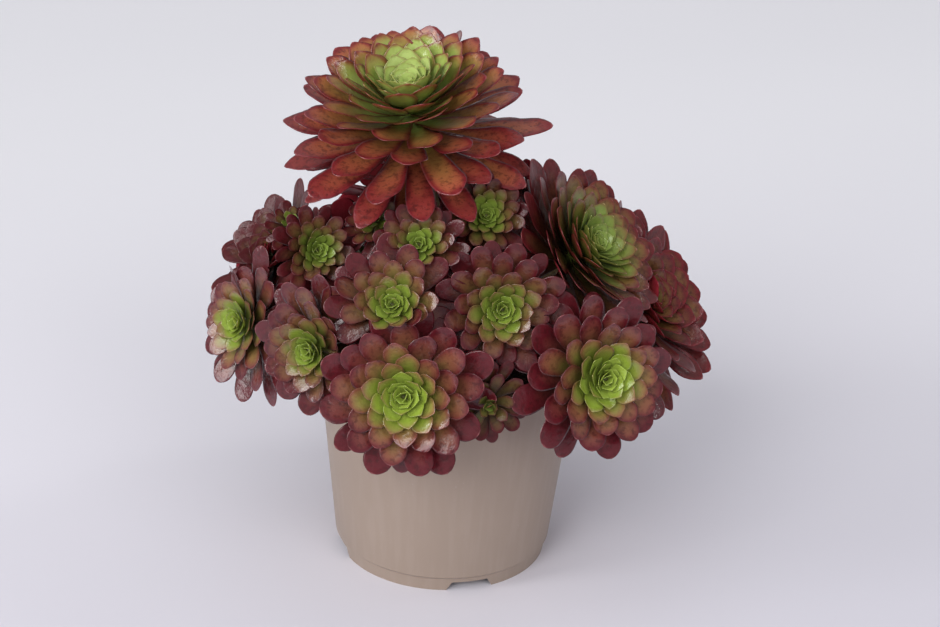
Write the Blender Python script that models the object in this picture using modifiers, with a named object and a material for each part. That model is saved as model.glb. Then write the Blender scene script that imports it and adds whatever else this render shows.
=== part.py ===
"""A potted semponium: a tapered grower's pot, its potting soil, a branching stem,
and twenty-five rosettes of spoon-shaped leaves, the largest one at the top.

Metres, +Z up. The origin is the middle of the pot's foot, on the surface it stands on,
and the plant's front faces -Y.
"""
import math
import random
from dataclasses import dataclass, replace

import bmesh
import bpy
from mathutils import Matrix, Vector
from mathutils.bvhtree import BVHTree

# The pot: a 21 cm grower's pot, 18 cm tall, on a foot ring with four drain notches.
POT_HEIGHT = 0.180
POT_DRAFT = 0.1014
WALL = 0.0020
WALL_FOOT_RADIUS = 0.0885
FOOT_HEIGHT = 0.0132
FOOT_RADIUS = 0.0850
FOOT_TOP_RADIUS = 0.0862
CREASE = 0.0022
RIM_LIP = 0.0022
RIM_DEPTH = 0.009
RIM_ROUND = 0.0012
FLOOR_UNDER = 0.0095
FLOOR_CORNER = 0.008
POT_SIDES = 36
NOTCHES = 4
NOTCH_FIRST = math.radians(-73.0)
NOTCH_WIDTH = 0.040
NOTCH_TOP_WIDTH = 0.029
NOTCH_HEIGHT = 0.0075
NOTCH_DEPTH = 0.020
DRAIN_RADIUS = 0.005
DRAIN_RING = 0.062
DRAIN_SIDES = 6
SHARP_ANGLE = math.radians(40)

# The soil fills the pot to just under its rim, and the trunk stands in a plain hole in it.
GAP = 0.0003
SOIL_TOP = 0.163
SOIL_MOUND = 0.004
SOIL_EDGE = 0.060
SOIL_SIDES = 24
HOLE_SIDES = 12

# The stem is a trunk up to the top rosette, with a thinner branch out to each of the others.
TRUNK_DEPTH = 0.045
TRUNK_RADIUS = 0.0125
TRUNK_TOP_RADIUS = 0.0105
TRUNK_SIDES = 8
TRUNK_STEPS = 4
TRUNK_FOOT = Vector((0.0, 0.0, SOIL_TOP - TRUNK_DEPTH))
TRUNK_START = Vector((0.0, 0.0, SOIL_TOP + 0.008))
BRANCH_STEPS = 3
BRANCH_SIDES = 4
BRANCH_MOST = 0.0055
BRANCH_SHARE = 0.62
BRANCH_SWELL = 0.25
BRANCH_DROP = 0.55
BRANCH_RISE = 0.55
HIGHEST_BRANCH = 0.80
SEAT_LENGTH = 0.005
END_PULL = 0.70

# A rosette is drawn round the growing tip in its heart. Its leaves are numbered outwards, by
# an age of 0 at the tip to 1 outermost. Pairs hold the youngest leaf's value and the oldest's,
# in shares of the rosette's reach where no unit is named.
GOLDEN_ANGLE = math.radians(137.508)
HEART_AGE = 0.42
TIP_OUT = (0.03, 1.0)
ROOT_DOWN = (0.08, 0.46)
ROOT_OUT_OF_CORE = (0.15, 0.55)
BEND = (math.radians(75), math.radians(13))
BEND_SETTLES = 0.625
HOLLOW = (0.40, 0.08)
HOLLOW_SETTLES = 0.667
YOUNG_WIDTH = 0.075
WIDENING = 0.8
LEAF_THICKNESS = 0.0013
LEAF_THICKNESS_SHARE = 0.018
YOUNG_THICKNESS = 0.6

# Leaves that hang below the outermost ones.
HANGING_OUT = (0.95, 0.83)
HANGING_DOWN = (0.06, 0.34)
HANGING_BEND = math.radians(8)

# The core is the short fat stem that a rosette's leaves stand on. It ends in the heart.
CORE_DEPTH = 0.50
CORE_SPLIT = 0.27
CORE_RADIUS = 0.0028
CORE_SHARE = 0.10
CORE_TAPER = 0.9
HEART_TOP = 0.03
HEART_RADII = (0.16, 0.05)
CORE_SIDES = 6

# A leaf is a spoon: these are its rings, its outline and its three corners in section.
LEAF_RINGS = (0.0, 0.03, 0.62, 0.90, 1.0)
LEAF_CORNERS = ((1, 0), (-1, 0), (0, 1))
TIP_THINNING = 0.35
WIDEST_AT = 0.76
LEAF_BASE_SHARE = 0.34
TIP_ROUNDNESS = 2.3

# The leaves reach further to the right of the pot than to the left, so the whole is moved
# over until it stands centred.
PLANT_SHIFT = -0.0095

CLEARANCE = 0.0004
ANGLE_CHANCE = 0.06
TILT_CHANCE = math.radians(3)
REACH_CHANCE = 0.05
SEED = 11


@dataclass
class Rosette:
    """One rosette: heart place and reach in mm, and facing in degrees, round from the front
    and up. The leaf tips lie on a dome of this lift, droop and curve, in shares of the reach,
    and the leaves of its lower side are longer by the sag.
    """

    name: str
    heart_mm: tuple
    facing_deg: tuple
    reach_mm: float
    inner: int
    outer: int
    hanging: int = 2
    lift: float = 0.25
    droop: float = 0.62
    curve: float = 2.0
    leaf_width: float = 0.175
    sag: float = 0.0

    @property
    def heart(self):
        return Vector(self.heart_mm) / 1000

    @property
    def reach(self):
        return self.reach_mm / 1000

    @property
    def facing(self):
        return direction(*self.facing_deg)

    @property
    def depth(self):
        return self.reach * CORE_DEPTH

    @property
    def base(self):
        return self.heart - self.facing * self.depth

    @property
    def core_radius(self):
        return CORE_RADIUS + CORE_SHARE * self.reach

    def tip_height(self, age):
        return self.reach * (self.lift * age - self.droop * age**self.curve)


TALL = {"lift": 0.62, "droop": 1.12, "curve": 2.4, "leaf_width": 0.14}
BOWL = {"lift": 0.40, "droop": 0.52, "leaf_width": 0.165}
ROSETTES = [
    Rosette("top_rosette", (-40, -12, 397), (-16, 70), 107, 18, 30, 5, **TALL),
    Rosette("front_rosette", (-30, -160, 206), (-4, 18), 71, 10, 14),
    Rosette("front_right_rosette", (119, -130, 213), (24, 17), 71, 10, 14),
    Rosette("middle_right_rosette", (39, -120, 260), (6, 18), 56, 9, 12),
    Rosette("right_upper_rosette", (112, -30, 283), (62, 40), 80, 9, 15, **BOWL),
    Rosette("right_rosette", (163, 12, 224), (62, 34), 90, 8, 15, 3, **BOWL, sag=0.12),
    Rosette("middle_rosette", (-41, -130, 266), (-2, 32), 56, 9, 11),
    Rosette("front_left_rosette", (-104, -120, 220), (-28, 8), 60, 9, 12),
    Rosette("left_rosette", (-169, -34, 202), (-42, 16), 60, 8, 13, 3, droop=0.7, sag=0.25),
    Rosette("upper_right_rosette", (25, -55, 309), (12, 32), 40, 7, 9),
    Rosette("centre_rosette", (-24, -94, 299), (0, 34), 40, 6, 8, 1),
    Rosette("left_upper_rosette", (-99, -70, 280), (22, 22), 37, 6, 8),
    Rosette("upper_left_rosette", (-60, -55, 302), (-20, 45), 32, 5, 6, 1),
    Rosette("rim_rosette", (33, -142, 192), (8, 4), 38, 5, 7, 1),
    Rosette("left_bud_rosette", (-124, -25, 285), (10, 50), 24, 4, 6, 1),
    Rosette("left_back_rosette", (-151, 12, 247), (-60, 40), 66, 6, 12, **BOWL, sag=0.2),
    Rosette("right_back_rosette", (88, 72, 282), (130, 50), 68, 4, 12, **BOWL),
    Rosette("back_left_rosette", (-95, 130, 222), (-145, 20), 72, 5, 12),
    Rosette("back_rosette", (10, 164, 212), (178, 18), 74, 5, 12),
    Rosette("back_right_rosette", (112, 128, 218), (140, 20), 72, 5, 12),
    Rosette("back_left_upper_rosette", (-50, 108, 286), (-158, 46), 66, 4, 11),
    Rosette("back_right_upper_rosette", (35, 114, 290), (165, 42), 64, 4, 11),
    Rosette("left_low_rosette", (-162, 68, 192), (-140, 10), 58, 4, 9),
    Rosette("right_low_rosette", (162, 84, 190), (118, 2), 56, 4, 9),
    Rosette("back_crown_rosette", (-30, 50, 324), (178, 62), 50, 4, 9),
]

COLOURS = {
    "pot": (0.39, 0.30, 0.245),
    "soil": (0.055, 0.035, 0.022),
    "stem": (0.20, 0.15, 0.075),
    "heart": (0.30, 0.42, 0.07),
    "leaves": (0.13, 0.020, 0.022),
}
ROUGHNESS = {"pot": 0.45, "soil": 0.95, "stem": 0.8, "heart": 0.4, "leaves": 0.35}


def between(pair, share):
    """The value this share of the way from the pair's first to its second."""
    return pair[0] + (pair[1] - pair[0]) * share


def direction(round_deg, up_deg):
    """The unit vector that is round_deg from the front towards +X, and up_deg above level."""
    around, up = math.radians(round_deg), math.radians(up_deg)
    return Vector((math.cos(up) * math.sin(around), -math.cos(up) * math.cos(around), math.sin(up)))


def clear_scene():
    for old in list(bpy.data.objects):
        bpy.data.objects.remove(old, do_unlink=True)


def new_collection(name):
    made = bpy.data.collections.new(name)
    bpy.context.scene.collection.children.link(made)
    return made


def remove_collection(collection):
    for old in list(collection.objects):
        bpy.data.objects.remove(old, do_unlink=True)
    bpy.data.collections.remove(collection)


def material(name):
    made = bpy.data.materials.new(name)
    made.use_nodes = True
    shader = made.node_tree.nodes["Principled BSDF"]
    shader.inputs["Base Color"].default_value = (*COLOURS[name], 1.0)
    shader.inputs["Roughness"].default_value = ROUGHNESS[name]
    made.diffuse_color = (*COLOURS[name], 1.0)
    return made


def mesh_object(name, bm, collection, paint=None):
    """A new object from a bmesh, in the collection."""
    mesh = bpy.data.meshes.new(name)
    bm.to_mesh(mesh)
    bm.free()
    made = bpy.data.objects.new(name, mesh)
    collection.objects.link(made)
    if paint:
        mesh.materials.append(paint)
    return made


def as_cutter(made):
    made.hide_render = True
    made.display_type = "WIRE"
    return made


def apply_modifiers(made):
    """Replaces the object's mesh with what its modifiers make of it."""
    bpy.context.view_layer.update()
    graph = bpy.context.evaluated_depsgraph_get()
    result = bpy.data.meshes.new_from_object(made.evaluated_get(graph))
    made.modifiers.clear()
    made.data = result


def boolean(target, operation, other=None, collection=None):
    """Applies one Boolean to the target, with an object or with a whole collection."""
    cut = target.modifiers.new(operation.title(), "BOOLEAN")
    cut.operation = operation
    cut.solver = "EXACT"
    if collection:
        cut.operand_type = "COLLECTION"
        cut.collection = collection
    else:
        cut.object = other
    apply_modifiers(target)


def shade_round(made):
    """Shades the round sides smooth and leaves the edges sharp."""
    made.data.shade_smooth()
    made.data.set_sharp_from_angle(angle=SHARP_ANGLE)


def turned(name, profile, sides, collection, paint):
    """A solid of revolution from (radius, height) points that run down its outer side."""
    bm = bmesh.new()
    points = [bm.verts.new((radius, 0, height)) for radius, height in profile]
    for first, second in zip(points, points[1:]):
        bm.edges.new((first, second))
    made = mesh_object(name, bm, collection, paint)
    screw = made.modifiers.new("Turn", "SCREW")
    screw.steps = screw.render_steps = sides
    screw.use_merge_vertices = True
    screw.merge_threshold = 0.00005
    screw.use_normal_calculate = True
    apply_modifiers(made)
    return made


def wall_radius(height):
    """The pot's outer wall at this height."""
    return WALL_FOOT_RADIUS + POT_DRAFT * (height - FOOT_HEIGHT)


def make_pot(parts, cutters):
    """The pot: floor, tapered wall, lipped rim and foot ring, turned in one piece."""
    top, lip_foot = POT_HEIGHT, POT_HEIGHT - RIM_DEPTH
    floor = FLOOR_UNDER + WALL
    profile = [
        (0.0, floor),
        (wall_radius(floor) - FLOOR_CORNER, floor),
        (wall_radius(floor + 2 * WALL) - WALL, floor + 2 * WALL),
        (wall_radius(top) - WALL, top),
        (wall_radius(top) + RIM_LIP - RIM_ROUND, top),
        (wall_radius(top) + RIM_LIP, top - RIM_ROUND),
        (wall_radius(lip_foot) + RIM_LIP, lip_foot),
        (wall_radius(lip_foot), lip_foot - RIM_ROUND),
        (WALL_FOOT_RADIUS, FOOT_HEIGHT),
        (FOOT_TOP_RADIUS, FOOT_HEIGHT - CREASE),
        (FOOT_RADIUS, 0.0),
        (FOOT_RADIUS - WALL, 0.0),
        (FOOT_TOP_RADIUS - WALL, FLOOR_UNDER),
        (0.0, FLOOR_UNDER),
    ]
    pot = turned("pot", profile, POT_SIDES, parts, material("pot"))
    for number in range(NOTCHES):
        turn = Matrix.Rotation(NOTCH_FIRST + number * math.tau / NOTCHES, 3, "Z")
        boolean(pot, "DIFFERENCE", notch_cutter(number, turn, cutters))
        boolean(pot, "DIFFERENCE", drain_cutter(number, turn, cutters))
    shade_round(pot)
    return pot


def notch_cutter(number, turn, cutters):
    """A block with slanted ends that cuts one drain notch out of the foot ring."""
    bm = bmesh.new()
    bmesh.ops.create_cube(bm, size=1.0)
    for vert in bm.verts:
        upper = vert.co.z > 0
        vert.co.x *= NOTCH_TOP_WIDTH if upper else NOTCH_WIDTH
        vert.co.y = vert.co.y * NOTCH_DEPTH - FOOT_RADIUS
        vert.co.z = NOTCH_HEIGHT if upper else -WALL
    bmesh.ops.rotate(bm, verts=bm.verts, matrix=turn)
    return as_cutter(mesh_object(f"notch_cutter_{number}", bm, cutters))


def round_cutter(name, radius, depth, sides, middle, cutters):
    bm = bmesh.new()
    bmesh.ops.create_cone(
        bm, cap_ends=True, segments=sides, radius1=radius, radius2=radius, depth=depth
    )
    bmesh.ops.translate(bm, verts=bm.verts, vec=middle)
    return as_cutter(mesh_object(name, bm, cutters))


def drain_cutter(number, turn, cutters):
    """A short round cutter for the drain hole in the floor behind each notch."""
    middle = turn @ Vector((0, -DRAIN_RING, FLOOR_UNDER + WALL / 2))
    name = f"drain_cutter_{number}"
    return round_cutter(name, DRAIN_RADIUS, 4 * WALL, DRAIN_SIDES, middle, cutters)


def make_soil(parts, cutters):
    """The potting soil, a gap clear of the pot all round, with a plain hole for the trunk."""
    low = FLOOR_UNDER + WALL + GAP
    inside = WALL + 2 * GAP
    profile = [
        (0.0, SOIL_TOP + SOIL_MOUND),
        (SOIL_EDGE, SOIL_TOP + SOIL_MOUND / 2),
        (wall_radius(SOIL_TOP) - inside, SOIL_TOP - SOIL_MOUND / 2),
        (wall_radius(low + 2 * WALL) - inside, low + 2 * WALL),
        (wall_radius(low) - FLOOR_CORNER - inside, low),
        (0.0, low),
    ]
    soil = turned("soil", profile, SOIL_SIDES, parts, material("soil"))
    middle = Vector((0, 0, SOIL_TOP - GAP))
    radius = (TRUNK_RADIUS + GAP) / math.cos(math.pi / HOLE_SIDES)
    hole = round_cutter("trunk_hole", radius, 2 * TRUNK_DEPTH, HOLE_SIDES, middle, cutters)
    boolean(soil, "DIFFERENCE", hole)
    shade_round(soil)
    return soil


def hermite(start, start_way, end, end_way, share):
    """The point this share of the way along a smooth path with these ends and directions."""
    squared, cubed = share * share, share**3
    return (
        start * (2 * cubed - 3 * squared + 1)
        + start_way * (cubed - 2 * squared + share)
        + end * (3 * squared - 2 * cubed)
        + end_way * (cubed - squared)
    )


def tube(name, points, radii, sides, collection):
    """A closed tube through the points, tapered between two radii: a curve made a mesh."""
    curve = bpy.data.curves.new(name, "CURVE")
    curve.dimensions = "3D"
    curve.bevel_depth = 1.0
    curve.bevel_resolution = (sides - 4) // 2
    curve.use_fill_caps = True
    spline = curve.splines.new("POLY")
    spline.points.add(len(points) - 1)
    for number, place in enumerate(points):
        spline.points[number].co = (*place, 1.0)
        spline.points[number].radius = between(radii, number / (len(points) - 1))
    holder = bpy.data.objects.new(name + "_curve", curve)
    collection.objects.link(holder)
    bpy.context.view_layer.update()
    graph = bpy.context.evaluated_depsgraph_get()
    mesh = bpy.data.meshes.new_from_object(holder.evaluated_get(graph))
    bpy.data.objects.remove(holder, do_unlink=True)
    bm = bmesh.new()
    bm.from_mesh(mesh)
    bmesh.ops.remove_doubles(bm, verts=bm.verts, dist=0.00002)
    bmesh.ops.recalc_face_normals(bm, faces=bm.faces)
    return mesh_object(name, bm, collection)


def seat(rosette):
    """The last straight bit of a stem, which ends a gap short of its rosette's underside."""
    end = rosette.base - rosette.facing * GAP
    return [end - rosette.facing * SEAT_LENGTH, end]


def trunk_point(share):
    top = ROSETTES[0]
    end = seat(top)[0]
    rise = end.z - TRUNK_START.z
    upward = Vector((0, 0, rise))
    return hermite(TRUNK_START, upward, end, top.facing * rise * END_PULL, share)


def branch_points(rosette):
    """The branch's centre line, out of the trunk, over the pot's rim and up to the rosette."""
    end = seat(rosette)[0]
    out = math.hypot(end.x, end.y)
    leaves_trunk_at = max(SOIL_TOP + 2 * TRUNK_RADIUS, end.z - BRANCH_DROP * out)
    share = (leaves_trunk_at - TRUNK_START.z) / (seat(ROSETTES[0])[0].z - TRUNK_START.z)
    start = trunk_point(min(share, HIGHEST_BRANCH))
    way = Vector((end.x - start.x, end.y - start.y, 0)).normalized()
    way.z = BRANCH_RISE
    length = (end - start).length
    arrival = rosette.facing * length * END_PULL
    shares = [step / BRANCH_STEPS for step in range(BRANCH_STEPS)]
    return [hermite(start, way * length, end, arrival, share) for share in shares] + seat(rosette)


def make_stem(parts):
    """The trunk and its branches, grown as one body: a thinner tube runs to every rosette."""
    pieces = new_collection("stem_pieces")
    shares = [step / TRUNK_STEPS for step in range(TRUNK_STEPS)]
    points = [TRUNK_FOOT] + [trunk_point(share) for share in shares] + seat(ROSETTES[0])
    stem = tube("stem", points, (TRUNK_RADIUS, TRUNK_TOP_RADIUS), TRUNK_SIDES, parts)
    stem.data.materials.append(material("stem"))
    for rosette in ROSETTES[1:]:
        tip = min(BRANCH_MOST, BRANCH_SHARE * rosette.core_radius)
        radii = (tip * (1 + BRANCH_SWELL), tip)
        tube("branch_" + rosette.name, branch_points(rosette), radii, BRANCH_SIDES, pieces)
    boolean(stem, "UNION", collection=pieces)
    remove_collection(pieces)
    shade_round(stem)
    return stem


@dataclass
class Leaf:
    """One leaf in its rosette's own frame: which way it points, how it rises, and its size."""

    around: float
    rise: float
    bend: float
    length: float
    half_width: float
    thickness: float
    root_out: float
    root_up: float
    hollow: float


def width_share(along):
    """A spoon outline: a narrow foot, widest past the middle, and a round tip."""
    if along < WIDEST_AT:
        share = along / WIDEST_AT
        return between((LEAF_BASE_SHARE, 1), share * share * (3 - 2 * share))
    share = (along - WIDEST_AT) / (1 - WIDEST_AT)
    return math.sqrt(max(0.0, 1 - share**TIP_ROUNDNESS))


def leaf_point(leaf, along, across, keel, extra=0.0):
    """A point of the leaf: along it, across it from -1 to 1, and at its keel or on its top.

    Extra grows the leaf on every side, to feel for neighbours.
    """
    angle = leaf.rise + leaf.bend * along
    out = (math.sin(angle) - math.sin(leaf.rise)) / leaf.bend
    up = (math.cos(leaf.rise) - math.cos(angle)) / leaf.bend
    width = leaf.half_width * width_share(along) + extra
    lift = extra * (1 - 2 * keel) - keel * leaf.thickness * (1 - TIP_THINNING * along)
    lift += leaf.hollow * width * across * across
    out = leaf.root_out + leaf.length * out - math.sin(angle) * lift
    up = leaf.root_up + leaf.length * up + math.cos(angle) * lift
    side = across * width
    cos, sin = math.cos(leaf.around), math.sin(leaf.around)
    return Vector((out * cos - side * sin, out * sin + side * cos, up))


def leaf_mesh(leaf, place, extra=0.0):
    """A three-sided sphere drawn out into the leaf, flat above and keeled below, in its place."""
    steps = len(LEAF_RINGS) - 1
    bm = bmesh.new()
    bmesh.ops.create_uvsphere(bm, u_segments=3, v_segments=steps, radius=1.0)
    for vert in bm.verts:
        ring = round(math.acos(max(-1.0, min(1.0, vert.co.z))) / math.pi * steps)
        across, keel = 0, 0
        if 0 < ring < steps:
            corner = round(math.atan2(vert.co.y, vert.co.x) / math.tau * 3) % 3
            across, keel = LEAF_CORNERS[corner]
        vert.co = place @ leaf_point(leaf, LEAF_RINGS[ring], across, keel, extra)
    bmesh.ops.recalc_face_normals(bm, faces=bm.faces)
    return bm


def rosette_place(rosette):
    """The matrix that sets a rosette's own frame, with its axis up Z, on the plant."""
    turn = rosette.facing.to_track_quat("Z", "Y").to_matrix().to_4x4()
    return Matrix.Translation(rosette.heart) @ turn


def leaf_of_age(rosette, age, hang, around, dice):
    """The leaf of this age, or an oldest one that hangs below the rest by this share.

    It is an arc from its root on the core to its tip on the rosette's dome.
    """
    reach = rosette.reach
    down = rosette_place(rosette).to_3x3().transposed() @ Vector((0, 0, -1))
    lower = max(0.0, down.x * math.cos(around) + down.y * math.sin(around))
    tip_out = reach * between(TIP_OUT, age) * dice.uniform(1 - REACH_CHANCE, 1 + REACH_CHANCE)
    tip_up = rosette.tip_height(age)
    bend = between(BEND, min(1, age / BEND_SETTLES))
    if hang:
        tip_out = reach * between(HANGING_OUT, hang)
        tip_up -= reach * between(HANGING_DOWN, hang)
        bend = HANGING_BEND
    tip_out *= 1 + rosette.sag * lower * age
    root_out = rosette.core_radius * between(ROOT_OUT_OF_CORE, age)
    root_up = -reach * between(ROOT_DOWN, age)
    out, up = tip_out - root_out, tip_up - root_up
    thickness = LEAF_THICKNESS + LEAF_THICKNESS_SHARE * reach
    return Leaf(
        around=around,
        rise=math.atan2(up, out) - bend / 2 + dice.uniform(-TILT_CHANCE, TILT_CHANCE),
        bend=bend,
        length=math.hypot(out, up) * (bend / 2) / math.sin(bend / 2),
        half_width=reach * between((YOUNG_WIDTH, rosette.leaf_width), age**WIDENING),
        thickness=thickness * between((YOUNG_THICKNESS, 1), age),
        root_out=root_out,
        root_up=root_up,
        hollow=between(HOLLOW, min(1, age / HOLLOW_SETTLES)),
    )


def rosette_leaves(rosette, dice):
    """The heart's leaves and the outer ones, set round by the golden angle."""
    turn = dice.uniform(0, math.tau)
    ages = [HEART_AGE * (step + 0.4) / rosette.inner for step in range(rosette.inner)]
    ages += [between((HEART_AGE, 1), (step + 0.6) / rosette.outer) for step in range(rosette.outer)]
    hangs = [0.0] * len(ages)
    ages += [1.0] * rosette.hanging
    hangs += [(step + 0.5) / rosette.hanging for step in range(rosette.hanging)]
    leaves = []
    for age, hang in zip(ages, hangs):
        turn += GOLDEN_ANGLE
        around = turn + dice.uniform(-ANGLE_CHANCE, ANGLE_CHANCE)
        leaves.append(leaf_of_age(rosette, age, hang, around, dice))
    return leaves[: rosette.inner], leaves[rosette.inner :]


# How a leaf gives way to a neighbour: degrees added to its rise, and its share of length.
GIVE_WAY = [
    (0, 1.0), (-7, 1.0), (7, 1.0), (-14, 0.97), (13, 0.97), (-21, 0.94), (-28, 0.92),
    (20, 0.92), (0, 0.85), (-35, 0.88), (28, 0.86), (-14, 0.78), (-42, 0.82), (14, 0.76),
    (36, 0.80), (0, 0.66), (-28, 0.66), (-50, 0.70), (30, 0.64), (0, 0.54), (-40, 0.54),
    (45, 0.56), (0, 0.44),
]


def tree_of(obj):
    """A search tree of an object's faces, which stand at the origin unturned."""
    bm = bmesh.new()
    bm.from_mesh(obj.data)
    tree = BVHTree.FromBMesh(bm)
    bm.free()
    return tree


def fitted(leaf, place, obstacles):
    """The leaf, bent or shortened as little as keeps it clear of its neighbours, or None."""
    for tilt_deg, share in GIVE_WAY:
        tried = replace(
            leaf,
            rise=leaf.rise + math.radians(tilt_deg),
            length=leaf.length * share,
            half_width=leaf.half_width * (0.5 + 0.5 * share),
        )
        bm = leaf_mesh(tried, place, CLEARANCE)
        tree = BVHTree.FromBMesh(bm)
        bm.free()
        if not any(tree.overlap(other) for other in obstacles):
            return tried
    return None


def core(name, place, heights, radii, collection, paint):
    """A short tapered stem piece on the rosette's axis, between two heights."""
    low, high = heights
    bm = bmesh.new()
    bmesh.ops.create_cone(
        bm,
        cap_ends=True,
        segments=CORE_SIDES,
        radius1=radii[0],
        radius2=radii[1],
        depth=high - low,
    )
    bmesh.ops.translate(bm, verts=bm.verts, vec=(0, 0, (low + high) / 2))
    bmesh.ops.transform(bm, matrix=place, verts=bm.verts)
    return mesh_object(name, bm, collection, paint)


def attach_leaves(body, leaves, place, obstacles):
    """Fuses the leaves to their core in one Boolean union."""
    blades = new_collection(body.name + "_blades")
    for number, leaf in enumerate(leaves):
        kept = fitted(leaf, place, obstacles)
        if kept:
            mesh_object(f"blade_{number}", leaf_mesh(kept, place), blades)
    boolean(body, "UNION", collection=blades)
    remove_collection(blades)


def make_cores(rosette, parts, paints):
    """The short stems of a rosette's two bodies: its green heart and the wine-red part below."""
    place = rosette_place(rosette)
    radius, reach = rosette.core_radius, rosette.reach
    split = -reach * CORE_SPLIT
    heights = (split + GAP, -reach * HEART_TOP)
    radii = [reach * share for share in HEART_RADII]
    heart = core(rosette.name + "_heart", place, heights, radii, parts, paints["heart"])
    heights = (-rosette.depth, split)
    radii = (radius, radius * CORE_TAPER)
    leaves = core(rosette.name + "_leaves", place, heights, radii, parts, paints["leaves"])
    return heart, leaves


def grow_leaves(rosette, heart, leaves, obstacles, dice):
    """Fuses the rosette's leaves to its two cores."""
    place = rosette_place(rosette)
    inner, outer = rosette_leaves(rosette, dice)
    attach_leaves(heart, inner, place, obstacles + [tree_of(leaves)])
    attach_leaves(leaves, outer, place, obstacles + [tree_of(heart)])


def main():
    clear_scene()
    parts = new_collection("potted_semponium")
    cutters = new_collection("cutters")
    pot = make_pot(parts, cutters)
    soil = make_soil(parts, cutters)
    stem = make_stem(parts)
    paints = {"heart": material("heart"), "leaves": material("leaves")}
    carriers = [tree_of(pot), tree_of(soil), tree_of(stem)]
    bodies = [make_cores(rosette, parts, paints) for rosette in ROSETTES]
    grown = [[tree_of(body) for body in pair] for pair in bodies]
    dice = random.Random(SEED)
    for number, rosette in enumerate(ROSETTES):
        others = [tree for pair in grown[:number] + grown[number + 1 :] for tree in pair]
        grow_leaves(rosette, *bodies[number], carriers + others, dice)
        grown[number] = [tree_of(body) for body in bodies[number]]
    for made in parts.objects:
        made.data.transform(Matrix.Translation((PLANT_SHIFT, 0, 0)))


main()
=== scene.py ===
# %% [markdown]
# # A potted semponium
#
# A semponium is a garden cross of two rosette succulents. Its leaves are spoons set round
# short fat stems, lime green in the heart and wine red outside. This lesson dresses a plain
# solid model of one: a taupe grower's pot, potting soil, a branching stem and twenty-five
# rosettes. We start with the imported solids, because every piece that we model has to stand
# where its solid stands.

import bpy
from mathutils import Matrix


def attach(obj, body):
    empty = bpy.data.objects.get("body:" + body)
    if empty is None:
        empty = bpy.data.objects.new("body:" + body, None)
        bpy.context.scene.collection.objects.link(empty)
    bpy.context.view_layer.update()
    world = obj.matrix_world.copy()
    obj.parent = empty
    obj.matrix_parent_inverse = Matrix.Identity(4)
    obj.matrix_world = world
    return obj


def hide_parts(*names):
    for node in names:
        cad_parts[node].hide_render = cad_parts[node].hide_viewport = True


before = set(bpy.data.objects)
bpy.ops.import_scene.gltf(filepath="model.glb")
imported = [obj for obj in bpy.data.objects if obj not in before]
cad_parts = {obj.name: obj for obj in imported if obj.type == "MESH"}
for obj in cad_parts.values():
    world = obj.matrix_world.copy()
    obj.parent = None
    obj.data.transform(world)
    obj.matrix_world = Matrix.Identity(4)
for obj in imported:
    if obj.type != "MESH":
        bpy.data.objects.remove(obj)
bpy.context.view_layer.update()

# %% [markdown]
# ## The tools on the bench
#
# Blender's bmesh makes and shapes meshes without touching the screen. Mathutils brings
# vectors, noise and a search tree that tells whether two meshes touch. Everything that is
# drawn by chance comes from one seeded set of dice, so that each run grows the same plant.

# %% Tools and dice
import math
import random
from dataclasses import dataclass, replace

import bmesh
import bpy
from mathutils import Matrix, Vector, noise
from mathutils.bvhtree import BVHTree

dice = random.Random(11)
print("first draw", round(random.Random(11).random(), 4))


# %% Small helpers
def between(pair, share):
    """The value this share of the way from the pair's first to its second."""
    return pair[0] + (pair[1] - pair[0]) * share


def settled(value):
    """A share kept from 0 to 1."""
    return max(0.0, min(1.0, value))


def piece(name, bm, *finishes):
    """A new object from a bmesh, shaded smooth, in these materials."""
    mesh = bpy.data.meshes.new(name)
    bm.to_mesh(mesh)
    bm.free()
    mesh.shade_smooth()
    made = bpy.data.objects.new(name, mesh)
    bpy.context.scene.collection.objects.link(made)
    for finish in finishes:
        mesh.materials.append(finish)
    return made


plant = []


def place_on_plant(made, slot, *nodes):
    """Sets a finished piece on the model in place of these solids; the slot is not used."""
    plant.append(made)
    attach(made, "root")
    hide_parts(*nodes)
    print(made.name, len(made.data.polygons), "faces for", ", ".join(nodes))


# %% [markdown]
# ## Mixing finishes
#
# A finish in Blender is a little network: noise, ramps and mixes that end in one shader. The
# small class below keeps that readable. Each call adds one node and hands back what comes
# out of it. Colours are named as a painter reads them off a screen, from 0 to 255, and are
# turned into the light values that the shader works in.


# %% A class to mix finishes with
def screen_colour(red, green, blue):
    """A colour as read off a screen, from 0 to 255, in the shader's light values."""
    shares = (red / 255, green / 255, blue / 255)
    return (*(s / 12.92 if s <= 0.04045 else ((s + 0.055) / 1.055) ** 2.4 for s in shares), 1.0)


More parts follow.
